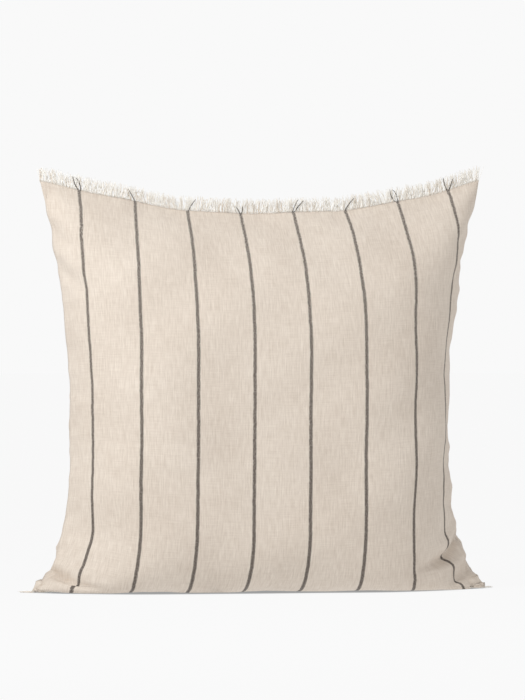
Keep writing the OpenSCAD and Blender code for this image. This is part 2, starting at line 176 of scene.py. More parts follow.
def hold(p, n, h, side_hold):
    """Keeps the seams, the floor, the corners and the zip where they belong."""
    for e in EDGES:
        p[0][e] = p[1][e] = (p[0][e] + p[1][e]) / 2
    x = (np.arange(n + 1) / n - 0.5) * FLAT
    p[:, 0, :, 2] = HEM_Z
    p[:, 0, :, 1] += 0.5 * (seam_roll(x) - p[:, 0, :, 1])
    p[:, 0, :, 0] += 0.3 * (x - p[:, 0, :, 0])
    for i, sign in ((0, -1), (n, 1)):
        seam_x = sign * outline_half_w(p[:, 1:, i, 2])
        p[:, 1:, i, 0] += side_hold * (seam_x - p[:, 1:, i, 0])
        p[:, 1:, i, 1] += side_hold * (seam_roll(seam_x) - p[:, 1:, i, 1])
    # the pad holds the top seam up
    top = np.stack([top_x(x), seam_roll(top_x(x)), top_z(x)], -1)
    p[:, n] += 0.1 * (top - p[:, n])
    np.maximum(p[0][..., 2], 0, out=p[0][..., 2])
    over_fringe = p[1][..., 1] - seam_roll(p[1][..., 0]) < FRINGE_LEN + 0.004
    np.maximum(p[1][..., 2], np.where(over_fringe, HEM_Z, 0), out=p[1][..., 2])
    crossed = np.clip(p[0, 1:-1, 1:-1, 1] - p[1, 1:-1, 1:-1, 1] + LEAST_GAP, 0, None) / 2
    p[0, 1:-1, 1:-1, 1] -= crossed
    p[1, 1:-1, 1:-1, 1] += crossed
    for side, sign in ((0, -1), (1, 1)):
        middle = seam_roll(p[side][..., 0])
        deep = sign * (p[side][..., 1] - middle)
        p[side][..., 1] -= sign * 0.5 * np.clip(deep - FACE_DEPTH, 0, None)
    row, band = int(round(ZIP_ROW * n)), int(round(ZIP_BAND / h))
    cols = np.where(np.abs(x) <= ZIP_HALF + 0.014)[0]
    for r in range(-band, band + 1):
        z = ZIP_Z + r * h * SLOT_HALF_W / 0.005
        p[1, row + r, cols] = np.stack([x[cols], np.full(len(cols), ZIP_Y), np.full(len(cols), z)], -1)


def settle(p, steps, push, volume=0.104, weight=0.4, keep=0.9, rounds=6, squeeze=0.12, stiff=0.15,
           side_hold=0.05):
    """Moves the cloth for some steps: filled up to a volume, weighed down, and kept from stretching.

    push is the pressure's size, keep the share of its motion that a point keeps, rounds how often each
    step mends the cloth, squeeze and stiff how much it resists being squeezed and bent."""
    n = p.shape[1] - 1
    h = FLAT / n
    every = slice(None)
    pairs = [(slice(f, n, 2), slice(f + 1, n + 1, 2)) for f in (0, 1)]
    before = p.copy()
    for _ in range(steps):
        move = (p - before) * keep
        before = p.copy()
        normal = area_normals(p)
        filled = (p * normal).sum() / 3
        press = push * np.clip((volume - filled) / (0.05 * volume), -0.3, 1)
        depth = np.clip(1 - p[..., 2:] / HEAD_Z, 0, 1)
        p = p + move + press * (0.9 + HEAD * depth) * normal / h
        p[..., 2] -= push * weight * h
        for _ in range(rounds):
            for a, b in pairs:
                pull(p, (every, every, a), (every, every, b), h, 1.0, squeeze)
                pull(p, (every, a), (every, b), h, 1.0, squeeze)
            for a, b in pairs:
                for c, d in pairs:
                    pull(p, (every, a, c), (every, b, d), h * 2 ** 0.5, 0.08, 0.024)
                    pull(p, (every, a, d), (every, b, c), h * 2 ** 0.5, 0.08, 0.024)
            bend(p, 2, stiff)
            bend(p, 1, stiff)
            hold(p, n, h, side_hold)
    return p


def simulate():
    """Settles the cloth on coarse cells first, then on finer ones."""
    p = first_guess(LEVELS[0])
    for k, (n, steps, push) in enumerate(zip(LEVELS, STEPS, PUSHES)):
        if k:
            p = refine(p)
        p = settle(p, steps, push)
        p = settle(p, 6, 0, keep=0, rounds=10)
    return p


simulated = simulate()
cloth = simulated.copy()
CELLS = cloth.shape[1] - 1


# ---------------------------------------------------------------- mesh helpers
def new_piece(name, verts, faces, uvs=None, mats=(), mat_index=None, smooth=True, body="cover"):
    """A mesh piece that rides on a body. uvs is one (u, v) per corner, in metres of cloth or yarn."""
    mesh = bpy.data.meshes.new(name)
    mesh.from_pydata([tuple(v) for v in verts], [], [tuple(f) for f in faces])
    if uvs is not None:
        layer = mesh.uv_layers.new(name="cloth")
        layer.data.foreach_set("uv", np.asarray(uvs, dtype=np.float32).ravel())
    for m in mats:
        mesh.materials.append(m)
    if mat_index is not None:
        mesh.polygons.foreach_set("material_index", np.asarray(mat_index, dtype=np.int32))
    mesh.polygons.foreach_set("use_smooth", [smooth] * len(mesh.polygons))
    mesh.update()
    piece = bpy.data.objects.new(name, mesh)
    bpy.context.scene.collection.objects.link(piece)
    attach(piece, body)
    return piece


def unit(a):
    return a / (np.linalg.norm(a, axis=-1, keepdims=True) + 1e-12)


def grid_faces(rows, cols):
    """Four-sided faces over a grid of points."""
    index = np.arange(rows * cols).reshape(rows, cols)
    return np.stack([index[:-1, :-1], index[:-1, 1:], index[1:, 1:], index[1:, :-1]], -1).reshape(-1, 4)


def shell(name, outer, uv, normal, thickness, mats, facing):
    """A sheet of cloth: outer points on a grid, an inner copy, and the edges between them. facing is -1
    for cloth that faces the front and 1 for the back."""
    rows, cols = outer.shape[:2]
    inner = outer - normal * thickness
    inner[..., 2] = np.maximum(inner[..., 2], 0.0002)
    verts = np.concatenate([outer.reshape(-1, 3), inner.reshape(-1, 3)])
    flat_uv = np.concatenate([uv.reshape(-1, 2)] * 2)
    index = np.arange(rows * cols).reshape(rows, cols)
    front = grid_faces(rows, cols)
    back = front[:, [0, 3, 2, 1]] + rows * cols
    if facing > 0:
        front, back = front[:, ::-1], back[:, ::-1]
    rim = np.concatenate([index[0, :-1], index[:-1, -1], index[-1, :0:-1], index[:0:-1, 0]])
    nxt = np.roll(rim, -1)
    side = np.stack([nxt, rim, rim + rows * cols, nxt + rows * cols], -1)
    if facing > 0:
        side = side[:, ::-1]
    faces = np.concatenate([front, back, side])
    return new_piece(name, verts, faces, flat_uv[faces.ravel()], mats)


def tubes(name, paths, radii, sides, shade, mats, mat_index=None, up=None):
    """Many yarns as one mesh. paths is (count, points, 3), radii (count, points), shade (count,)."""
    count, points = paths.shape[:2]
    tangent = unit(np.gradient(paths, axis=1))
    main = tangent[:, points // 2, None]
    # one helper for all of a yarn, or the one given, so that no ring turns against the next
    helper = np.where(np.abs(main[..., 1:2]) < 0.8, [[[0.0, 1.0, 0.0]]], [[[1.0, 0.0, 0.0]]])
    helper = np.broadcast_to(helper if up is None else np.array(up), tangent.shape)
    across = unit(np.cross(tangent, helper))
    other = np.cross(tangent, across)
    angle = np.arange(sides) * 2 * np.pi / sides
    ring = (across[:, :, None] * np.cos(angle)[:, None] + other[:, :, None] * np.sin(angle)[:, None])
    verts = paths[:, :, None] + ring * radii[:, :, None, None]
    base = (np.arange(count) * points * sides)[:, None, None]
    i, k = np.meshgrid(np.arange(points - 1), np.arange(sides), indexing="ij")
    a = i * sides + k
    b = i * sides + (k + 1) % sides
    quads = (np.stack([a, b, b + sides, a + sides], -1)[None] + base[..., None]).reshape(-1, 4)
    step = np.stack([i, i, i + 1, i + 1], -1) / (points - 1)
    uv = np.stack([np.broadcast_to(shade[:, None, None, None], (count, *step.shape)),
                   np.broadcast_to(step[None], (count, *step.shape))], -1).reshape(-1, 2)
    caps = []
    cap_uv = []
    cap_mat = []
    for c in range(count):
        first = c * points * sides
        last = first + (points - 1) * sides
        caps.append(list(range(first + sides - 1, first - 1, -1)))
        caps.append(list(range(last, last + sides)))
        cap_uv += [(shade[c], 0)] * sides + [(shade[c], 1)] * sides
        if mat_index is not None:
            cap_mat += [mat_index[c]] * 2
    faces = [tuple(q) for q in quads] + [tuple(c) for c in caps]
    mat = None
    if mat_index is not None:
        mat = np.concatenate([np.repeat(mat_index, (points - 1) * sides), cap_mat])
    return new_piece(name, verts.reshape(-1, 3), faces, np.concatenate([uv, cap_uv]), mats, mat)


# ---------------------------------------------------------------- materials
class Graph:
    """Short calls for the few node kinds that the materials use."""

    def __init__(self, name):
        self.mat = bpy.data.materials.new(name)
        self.mat.use_nodes = True
        self.nodes, self.links = self.mat.node_tree.nodes, self.mat.node_tree.links
        self.shader = self.nodes["Principled BSDF"]

    def value(self, socket, x):
        if isinstance(x, (int, float, tuple)):
            socket.default_value = x
        else:
            self.links.new(x, socket)

    def math(self, op, a, b=0.0, clamp=False):
        node = self.nodes.new("ShaderNodeMath")
        node.operation = op
        node.use_clamp = clamp
        self.value(node.inputs[0], a)
        self.value(node.inputs[1], b)
        return node.outputs[0]

    def add(self, *terms):
        total = terms[0]
        for t in terms[1:]:
            total = self.math("ADD", total, t)
        return total

    def times(self, a, b):
        return self.math("MULTIPLY", a, b)

    def uv(self):
        node = self.nodes.new("ShaderNodeUVMap")
        node.uv_map = "cloth"
        split = self.nodes.new("ShaderNodeSeparateXYZ")
        self.links.new(node.outputs[0], split.inputs[0])
        return split.outputs[0], split.outputs[1]

    def place(self):
        node = self.nodes.new("ShaderNodeTexCoord")
        return node.outputs["Object"]

    def noise(self, x, y, sx, sy, z=0.0, detail=2.0, rough=0.5):
        """Noise over (x, y), with sx and sy features per metre."""
        join = self.nodes.new("ShaderNodeCombineXYZ")
        for socket, v in zip(join.inputs, (self.times(x, sx), self.times(y, sy), z)):
            self.value(socket, v)
        return self.noise_at(join.outputs[0], 1.0, detail, rough)

    def noise_at(self, vector, scale, detail=2.0, rough=0.5):
        node = self.nodes.new("ShaderNodeTexNoise")
        node.inputs["Scale"].default_value = scale
        node.inputs["Detail"].default_value = detail
        node.inputs["Roughness"].default_value = rough
        self.links.new(vector, node.inputs["Vector"])
        return node.outputs["Fac"]

    def remap(self, x, low, high, to_low=0.0, to_high=1.0):
        node = self.nodes.new("ShaderNodeMapRange")
        for socket, v in zip(node.inputs, (x, low, high, to_low, to_high)):
            self.value(socket, v)
        return node.outputs[0]

    def mix(self, factor, a, b):
        node = self.nodes.new("ShaderNodeMix")
        node.data_type = "RGBA"
        self.value(node.inputs[0], factor)
        self.value(node.inputs[6], a)
        self.value(node.inputs[7], b)
        return node.outputs[2]

    def bump(self, height, strength, distance):
        node = self.nodes.new("ShaderNodeBump")
        node.inputs["Strength"].default_value = strength
        node.inputs["Distance"].default_value = distance
        self.links.new(height, node.inputs["Height"])
        self.links.new(node.outputs[0], self.shader.inputs["Normal"])

    def finish(self, color, rough=0.9, sheen=0.0, metallic=0.0, specular=0.3):
        self.value(self.shader.inputs["Base Color"], color)
        self.value(self.shader.inputs["Roughness"], rough)
        self.shader.inputs["Sheen Weight"].default_value = sheen
        self.shader.inputs["Metallic"].default_value = metallic
        self.shader.inputs["Specular IOR Level"].default_value = specular
        return self.mat


def weave(g, u, v, pitch):
    """1 where a warp yarn lies on top, -1 where a weft yarn does."""
    turn = math.pi / pitch
    return g.times(g.math("SINE", g.times(u, turn)), g.math("SINE", g.times(v, turn)))


def striped_cloth():
    """Plain weave of slubby cream and tan yarns, with stripes of dark warp yarns."""
    g = Graph("cover_cloth")
    u, v = g.uv()
    over = weave(g, u, v, YARN_STEP)
    warp = g.noise(u, v, 800, 26, detail=3, rough=0.65)
    slub = g.noise(u, v, 420, 45, 3.0, rough=0.6)
    weft = g.noise(u, v, 30, 700, 7.0, rough=0.6)
    soft = g.noise(u, v, 9, 7, 2.0)
    shade = g.add(g.remap(warp, 0.3, 0.7, -0.5, 0.5), g.remap(slub, 0.35, 0.7, -0.32, 0.45),
                  g.remap(weft, 0.3, 0.7, -0.3, 0.3), g.remap(soft, 0.3, 0.7, -0.25, 0.25),
                  g.times(over, 0.22))
    tone = g.remap(shade, -1.3, 1.3)
    first = FLAT / 2 + STRIPE_SHIFT - STRIPE_STEP * (STRIPES - 1) / 2
    wander = g.remap(g.noise(u, v, 1, 60), 0.3, 0.7, -0.00045, 0.00045)
    phase = g.math("DIVIDE", g.math("SUBTRACT", g.add(u, wander), first - STRIPE_STEP / 2), STRIPE_STEP)
    across = g.times(g.math("ABSOLUTE", g.math("SUBTRACT", g.math("FRACT", phase), 0.5)), STRIPE_STEP)
    inside = g.remap(across, STRIPE_W / 2 + 0.0004, STRIPE_W / 2 - 0.0004)
    # light yarns show between the dark ones, mostly along the stripe's edges; having more of them towards the
    # top is painted sheen
    speck = g.add(g.remap(over, -0.15, -0.75), g.remap(g.noise(u, v, 560, 480, detail=1), 0.46, 0.66, 0, 1.3))
    # painted sheen: the stripes grow lighter with height, as if lit from above
    painted_top_sheen = g.remap(v, 0.25 * FLAT, FLAT, 1.0, 2.0)
    most = g.times(painted_top_sheen, g.remap(across, STRIPE_W * 0.2, STRIPE_W / 2, 0.15, 0.45))
    fleck_and_sheen = g.math("MULTIPLY", speck, most, clamp=True)
    yarn = g.mix(fleck_and_sheen, g.mix(tone, CHARCOAL_DEEP, CHARCOAL), OAT_LIGHT)
    g.bump(g.add(over, g.times(shade, 0.7)), 0.35, 0.0004)
    color = g.mix(inside, g.mix(tone, OAT_DARK, OAT_LIGHT), yarn)
    return g.finish(color, 0.92, sheen=0.12, specular=0.15)


def yarn_material(name, dark, light):
    """Twisted yarn; the yarn's own shade is in the map's u, and its length in v."""
    g = Graph(name)
    u, v = g.uv()
    twist = g.noise_at(g.place(), 900, 2.0, 0.6)
    tone = g.add(u, g.remap(twist, 0.3, 0.7, -0.22, 0.22))
    g.bump(twist, 0.4, 0.0003)
    return g.finish(g.mix(g.remap(tone, 0.0, 1.0), dark, light), 0.9, sheen=0.2, specular=0.15)


def woven(name, dark, light, pitch, rough=0.85, sheen=0.1, strength=0.35):
    """Fine plain weave of one colour, on pieces with no map of their own."""
    g = Graph(name)
    split = g.nodes.new("ShaderNodeSeparateXYZ")
    g.links.new(g.place(), split.inputs[0])
    x, y, z = split.outputs
    across = g.add(x, g.times(y, 0.31))
    over = weave(g, across, z, pitch)
    mottle = g.noise_at(g.place(), 60, 3.0, 0.6)
    fine = g.noise_at(g.place(), 1500, 1.0)
    tone = g.add(g.remap(mottle, 0.3, 0.7, 0.25, 0.75), g.times(over, 0.15),
                 g.remap(fine, 0.3, 0.7, -0.2, 0.2))
    g.bump(g.add(over, fine), strength, 0.0002)
    return g.finish(g.mix(g.remap(tone, 0, 1), dark, light), rough, sheen=sheen, specular=0.2)


def antique_metal():
    g = Graph("antique_metal")
    patina = g.noise_at(g.place(), 420, 4.0, 0.6)
    scratch = g.noise_at(g.place(), 2600, 2.0, 0.7)
    color = g.mix(g.remap(patina, 0.35, 0.65), (0.16, 0.125, 0.08, 1), (0.36, 0.29, 0.19, 1))
    g.bump(scratch, 0.12, 0.0001)
    rough = g.remap(g.add(patina, scratch), 0.7, 1.3, 0.28, 0.5)
    return g.finish(color, rough, metallic=1.0, specular=0.5)


def moulded_coil():
    g = Graph("zip_coil_plastic")
    streak = g.noise_at(g.place(), 700, 2.0, 0.6)
    color = g.mix(g.remap(streak, 0.3, 0.7), (0.42, 0.35, 0.27, 1), (0.56, 0.48, 0.38, 1))
    g.bump(streak, 0.15, 0.0001)
    return g.finish(color, g.remap(streak, 0.3, 0.7, 0.38, 0.5), specular=0.5)


def fibre():
    g = Graph("pad_fibre")
    clump = g.noise_at(g.place(), 45, 5.0, 0.65)
    strand = g.noise_at(g.place(), 900, 3.0, 0.7)
    g.bump(g.add(clump, strand), 0.6, 0.003)
    color = g.mix(g.remap(clump, 0.3, 0.7), (0.78, 0.77, 0.74, 1), (0.93, 0.925, 0.9, 1))
    return g.finish(color, 0.95, sheen=0.2)


OAT_LIGHT = (0.835, 0.75, 0.655, 1)
OAT_DARK = (0.55, 0.46, 0.38, 1)
CHARCOAL = (0.105, 0.082, 0.068, 1)
CHARCOAL_DEEP = (0.07, 0.056, 0.047, 1)
cover_cloth = striped_cloth()
cream_yarn = yarn_material("cream_yarn", (0.66, 0.54, 0.42, 1), (0.98, 0.96, 0.91, 1))
dark_yarn = yarn_material("dark_yarn", (0.05, 0.042, 0.036, 1), (0.16, 0.13, 0.11, 1))
thread = woven("sewing_thread", (0.6, 0.52, 0.42, 1), (0.8, 0.73, 0.62, 1), 0.0006)
pad_cloth = woven("pad_cloth", (0.78, 0.765, 0.73, 1), (0.93, 0.92, 0.89, 1), 0.0009)
tape_cloth = woven("zip_tape_cloth", (0.42, 0.34, 0.26, 1), (0.62, 0.53, 0.42, 1), 0.0007, strength=0.5)
label_cloth = woven("label_ribbon", (0.84, 0.84, 0.83, 1), (0.94, 0.94, 0.93, 1), 0.0004, rough=0.5,
                    sheen=0.3)
metal = antique_metal()
coil_plastic = moulded_coil()
pad_fibre = fibre()


# ---------------------------------------------------------------- folds and puckers
def fold(height, path, width, depth, lip=0.0):
    """Adds a ridge, or a valley if depth is negative, along a path of (u, v, strength) points of the
    flat cloth. lip makes the side above the path steeper than the side below, or the other way."""
    best = np.full(u_flat.shape, 1e9)
    strength = np.zeros(u_flat.shape)
    offset = np.zeros(u_flat.shape)
    for (u0, v0, s0), (u1, v1, s1) in zip(path, path[1:]):
        du, dv = u1 - u0, v1 - v0
        t = np.clip(((u_flat - u0) * du + (v_flat - v0) * dv) / (du * du + dv * dv), 0, 1)
        across = np.hypot(u_flat - u0 - t * du, v_flat - v0 - t * dv)
        near = across < best
        best = np.where(near, across, best)
        strength = np.where(near, s0 + (s1 - s0) * t, strength)
        side = np.sign(((v_flat - v0) * du - (u_flat - u0) * dv) * du)
        offset = np.where(near, side * across, offset)
    x = best / (width * (1 + lip * np.tanh(3 * offset / width)))
    height += depth * strength * np.exp(-x * x)


def puckers():
    """Small pulls of the cloth beside the seams: waves side by side that die away inwards."""
    h = np.zeros_like(u_flat)
    edges = ((u_flat, v_flat, 0.0020), (FLAT - u_flat, v_flat, 0.0020), (v_flat, u_flat, 0.0010),
             (FLAT - v_flat, u_flat, 0.0011))
    waves = 7
    for edge, run, depth in edges:
        wave = np.zeros_like(u_flat)
        for _ in range(waves):
            length = rng.uniform(0.022, 0.075)
            slant = rng.uniform(-6, 6)
            wave += np.sin(2 * np.pi * (run / length + rng.uniform() + edge * slant)) * length / 0.05
        h += depth * wave / 2.6 * np.exp(-edge / 0.030) * np.clip(edge / 0.008, 0.35, 1)
    return h


u_flat, v_flat = np.meshgrid(np.linspace(0, FLAT, CELLS + 1), np.linspace(0, FLAT, CELLS + 1))
front_h, back_h = puckers(), puckers()
# folds of the front cloth: a path, then width, depth and lip
CORNER_FOLDS = (
    # the body of the pillow sags over the right corner, and the corner folds under it
    (((0.800, 0.190, 0.5), (0.745, 0.162, 1), (0.650, 0.152, 0)), 0.017, 0.0080, -0.35),
    (((0.800, 0.160, 1), (0.765, 0.143, 1), (0.730, 0.128, 1), (0.630, 0.122, 0)), 0.0085, -0.0125, 0.25),
    (((0.800, 0.128, 1), (0.745, 0.112, 1), (0.660, 0.098, 0)), 0.011, 0.0075, 0),
    (((0.800, 0.095, 0.7), (0.750, 0.086, 1), (0.690, 0.066, 0)), 0.008, -0.0085, 0.25),
    (((0.800, 0.062, 1), (0.760, 0.050, 1), (0.715, 0.030, 0)), 0.012, 0.0060, 0),
    (((0.800, 0.024, 1), (0.775, 0.020, 0)), 0.007, -0.0045, 0),
    # the left corner is creased across
    (((0.000, 0.122, 0.8), (0.045, 0.112, 1), (0.110, 0.120, 0.2), (0.160, 0.125, 0)), 0.011, 0.0050, -0.3),
    (((0.000, 0.103, 1), (0.035, 0.090, 1.2), (0.080, 0.084, 1), (0.130, 0.086, 0)), 0.0062, -0.0105, 0.3),
    (((0.000, 0.080, 1), (0.050, 0.072, 1), (0.100, 0.076, 0)), 0.009, 0.0060, 0),
    (((0.000, 0.055, 1), (0.040, 0.046, 1), (0.075, 0.040, 0)), 0.007, -0.0055, 0),
    (((0.000, 0.150, 1), (0.030, 0.146, 0)), 0.007, -0.0045, 0),
    (((0.000, 0.030, 1), (0.035, 0.026, 0)), 0.008, 0.0045, 0),
)
for path, width, depth, lip in CORNER_FOLDS:
    fold(front_h, path, width, depth, lip)
# pulls up both side seams: height along the seam, then depth
RIGHT_PULLS = ((0.225, -0.0035), (0.262, 0.0030), (0.300, -0.0035), (0.335, 0.0030), (0.372, -0.0030),
               (0.505, -0.0022), (0.610, 0.0022))
LEFT_PULLS = ((0.215, -0.0025), (0.285, 0.0022), (0.430, -0.0020), (0.560, 0.0020))
for v0, depth in RIGHT_PULLS:
    fold(front_h, [(0.800, v0, 1), (0.765, v0 + 0.008, 0.7), (0.725, v0 + 0.022, 0)], 0.010, depth)
for v0, depth in LEFT_PULLS:
    fold(front_h, [(0.000, v0, 1), (0.035, v0 + 0.006, 0.7), (0.070, v0 + 0.014, 0)], 0.010, depth)
# soft wrinkles inside the top corners
for k in range(4):
    depth = 0.0030 * (-1) ** k
    fold(front_h, [(0.004, 0.745 - 0.030 * k, 0.6), (0.040, 0.725 - 0.032 * k, 1),
                   (0.095, 0.690 - 0.034 * k, 0)], 0.010, depth)
    fold(front_h, [(0.796, 0.752 - 0.028 * k, 0.6), (0.768, 0.735 - 0.030 * k, 1),
                   (0.720, 0.712 - 0.036 * k, 0)], 0.009, depth)
    for edge, inwards in ((0.0, 1), (FLAT, -1)):
        fold(back_h, [(edge, 0.750 - 0.030 * k, 0.6), (edge + inwards * 0.04, 0.728 - 0.03 * k, 1),
                      (edge + inwards * 0.10, 0.70 - 0.034 * k, 0)], 0.010, depth)
# folds over the back's bottom corners
BACK_FOLDS = ((0.150, 0.0070), (0.122, -0.0085), (0.095, 0.0065), (0.066, -0.0060), (0.040, 0.0045))
for edge, inwards in ((0.0, 1), (FLAT, -1)):
    for v0, depth in BACK_FOLDS:
        fold(back_h, [(edge, v0, 1), (edge + inwards * 0.05, v0 - 0.016, 1),
                      (edge + inwards * 0.13, v0 - 0.02, 0)], 0.010, depth)
# shallow lines across the front, left from when the cloth lay folded
for path in (((0.010, 0.352, 0.6), (0.120, 0.354, 1), (0.260, 0.352, 1), (0.380, 0.350, 0)),
             ((0.010, 0.298, 0.6), (0.150, 0.302, 1), (0.260, 0.300, 1), (0.340, 0.302, 0))):
    fold(front_h, path, 0.0065, -0.0011)
# and broad, soft unevenness of the filling
UNEVEN = 0.0009
for h in (front_h, back_h):
    for _ in range(10):
        waves = rng.uniform(1.5, 5.5, 2)
        turn = rng.uniform(0, 2 * np.pi, 2)
        h += UNEVEN * np.sin(2 * np.pi * (waves[0] * u_flat / FLAT) + turn[0]) * np.sin(
            2 * np.pi * (waves[1] * v_flat / FLAT) + turn[1])

# the back stays smooth beside the zip
smooth = np.exp(-(np.clip(np.abs(cloth[1][..., 2] - ZIP_Z) - 0.012, 0, None) / 0.012) ** 2)
smooth *= np.abs(cloth[1][..., 0]) < ZIP_HALF + 0.03
back_h = back_h * (1 - smooth)
normals = unit(area_normals(cloth))
for side, h in enumerate((front_h, back_h)):
    cloth[side] += normals[side] * h[..., None]
    np.maximum(cloth[side][..., 2], 0.0, out=cloth[side][..., 2])
# the side seams step outwards where folds run over them, just above the bottom corners: height along
# the seam, then how far out
LEFT_LEDGES = ((0.066, 0.005), (0.046, 0.004), (0.024, 0.007))
RIGHT_LEDGES = ((0.090, 0.004), (0.062, 0.005), (0.030, 0.005))
for edge, sign, ledges in ((u_flat, -1, LEFT_LEDGES), (FLAT - u_flat, 1, RIGHT_LEDGES)):
    for v0, depth in ledges:
        below = np.clip(v0 - v_flat, 0, None)
        cloth[..., 0] += sign * depth * (v_flat < v0) * np.exp(-below / 0.014 - (edge / 0.026) ** 2)
SEAM_GAP = np.array([0, 0.0004, 0])       # from the seam's middle to each cloth
edge_mean = (cloth[0] + cloth[1]) / 2
for e in EDGES:
    cloth[0][e] = edge_mean[e] - SEAM_GAP
    cloth[1][e] = edge_mean[e] + SEAM_GAP
normals = unit(area_normals(cloth))
seam_mean = (cloth[0] + cloth[1]) / 2


# ---------------------------------------------------------------- the cover's panels
def panel_uv(rows, cols):
    """Flat cloth coordinates, in metres, of some of the cloth's grid lines."""
    u, v = np.meshgrid(cols / CELLS * FLAT, rows / CELLS * FLAT)
    return np.stack([u, v], -1)


grid = np.arange(CELLS + 1, dtype=float)
zip_row = int(round(ZIP_ROW * CELLS))
front_panel = shell("cover_front", cloth[0], panel_uv(grid, grid), normals[0], CLOTH_T, [cover_cloth],
                    -1)


def slot_half(x):
    """Half the gap between the back panels at x: open beside the zip, and sewn shut beyond its ends."""
    shut_half = 0.0004
    t = np.clip((np.abs(x) - ZIP_HALF - 0.003) / 0.010, 0, 1)
    return SLOT_HALF_W + (shut_half - SLOT_HALF_W) * t * t * (3 - 2 * t)


def back_part(name, rows, edge_row, sign):
    """The back cloth above (sign 1) or below (-1) the zip. edge_row is the row of rows beside the zip."""
    part, n = cloth[1][rows].copy(), normals[1][rows]
    middle = cloth[1][zip_row]
    half = slot_half(middle[:, 0])
    edge = middle.copy()
    edge[:, 2] += sign * half
    part[edge_row] = edge
    uv = panel_uv(grid[rows], grid)
    uv[edge_row, :, 1] = zip_row / CELLS * FLAT + sign * half
    return shell(name, part, uv, n, CLOTH_T, [cover_cloth], 1)


back_upper = back_part("cover_back_upper", slice(zip_row + 1, None), 0, 1)
back_lower = back_part("cover_back_lower", slice(0, zip_row), -1, -1)


# ---------------------------------------------------------------- fringe
def on_grid(line, s):
    """Points of a line of grid points at shares s of the flat cloth's width."""
    i = s * (len(line) - 1)
    return np.stack([np.interp(i, np.arange(len(line)), line[:, k]) for k in range(3)], -1)


YARN_R = 0.00052
# dark ends of the stripes' yarns that stand out of the top fringe: stripe, place across it in
# mm, lean and curl in radians, share of the fringe's length
DARK_ENDS = (
    (0, -1.5, -0.55, 0.5, 1.05), (0, 1.5, -0.15, -0.9, 1.0),
    (1, 0, -0.5, -0.2, 1.1),
    (2, 0.5, 0.45, 0.3, 0.95),
    (3, -1, -0.5, -0.4, 0.6), (3, 1.5, 0.2, -0.5, 0.55),
    (4, -1.5, 0.3, 0.3, 1.0), (4, 1.5, 0.6, 0.2, 1.05),
    (5, 0, 0.5, 0.4, 1.1),
    (6, -2, -0.75, 1.0, 1.05), (6, 1.5, -0.2, -1.1, 1.0),
    (7, -1.5, -0.45, 0.3, 1.0), (7, 1.5, 0.35, -0.2, 0.9),
)


def fringe(name, root_line, lay, node, count, drop, y_off, floor_z=None, dark_ends=()):
    """One layer of loose warp ends, drop below root_line and y_off behind it. lay gives the directions
    along, across and out of the yarns from their shares of the width; floor_z holds them between two
    heights."""
    s = (np.arange(count) + 0.5) / count + rng.uniform(-0.25, 0.25, count) / count
    s = np.clip(s, 0.001, 0.999)
    root = on_grid(root_line, s) + np.array([0, y_off, -drop])
    clump = np.interp(s * 90, np.arange(91), rng.normal(0, 1, 91))       # neighbours lean together
    loose = np.interp(s * 300, np.arange(301), rng.normal(0, 1, 301))
    lean = 0.16 * clump + 0.16 * loose + 0.16 * rng.normal(0, 1, count)
    out = 0.20 * rng.normal(0, 1, count)
    length = FRINGE_LEN * np.clip(rng.normal(0.98, 0.10, count), 0.55, 1.12)
    curl = rng.normal(0, 0.5, count)
    dark = np.zeros(count, dtype=bool)
    for stripe, across, end_lean, end_curl, share in dark_ends:
        at = FLAT / 2 + STRIPE_SHIFT + (stripe - (STRIPES - 1) / 2) * STRIPE_STEP + across / 1000
        k = np.argmin(np.abs(s * FLAT - at))
        dark[k], lean[k], curl[k], length[k], out[k] = True, end_lean, end_curl, share * FRINGE_LEN, 0.22
    points = 7
    t = np.linspace(0, 1, points)
    direction, sideways, outwards = lay(s)
    angle = lean[:, None] + curl[:, None] * (t[None] - 0.3) * 0.9
    tip = out[:, None] * (0.3 + 0.7 * t[None])
    step = (np.cos(angle)[..., None] * direction[:, None] + np.sin(angle)[..., None] * sideways[:, None]
            + tip[..., None] * outwards[:, None])
    step = unit(step) * (length / (points - 1))[:, None, None]
    paths = root[:, None] + np.concatenate([np.zeros((count, 1, 3)), np.cumsum(step[:, 1:], axis=1)], 1)
    if floor_z is not None:
        paths[..., 2] = np.clip(paths[..., 2], floor_z[0], floor_z[1])
    radius = YARN_R * rng.uniform(0.75, 1.2, count)[:, None] * (1 - 0.45 * t[None] ** 3)
    radius *= np.where(dark, 1.45, 1.0)[:, None]
    shade = np.clip(rng.normal(0.86, 0.12, count), 0.1, 1)
    tan = rng.uniform(0, 1, count) < 0.06
    shade = np.where(tan, rng.uniform(0.15, 0.45, count), shade)
    shade[dark] = 0.4
    shade[0], radius[0] = 0.25, radius[0] * 1.5        # the selvage's thicker end
    piece = tubes(name, paths, radius, 4, shade, [cream_yarn, dark_yarn], dark.astype(int))
    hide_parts(node)
    return piece


def upright(side):
    """Yarns that stand up, leaning a little to the front (side -1) or the back (1)."""
    def lay(s):
        n = len(s)
        up = np.tile([0.0, side * 0.12, 1.0], (n, 1))
        return up, np.tile([1.0, 0, 0], (n, 1)), np.tile([0, side * 1.0, 0], (n, 1))
    return lay


def flat_back(s):
    """Yarns pressed under the back of the foot, fanning out at both corners."""
    widest, fan_from = 0.95, 0.93
    x = 2 * s - 1
    turn = widest * np.sign(x) * np.clip((np.abs(x) - fan_from) / 0.07, 0, 1)
    back = np.stack([np.sin(turn), np.cos(turn), 0 * s], -1)
    across = np.stack([np.cos(turn), -np.sin(turn), 0 * s], -1)
    return back, across, np.tile([0, 0, 1.0], (len(s), 1)) * 0.3


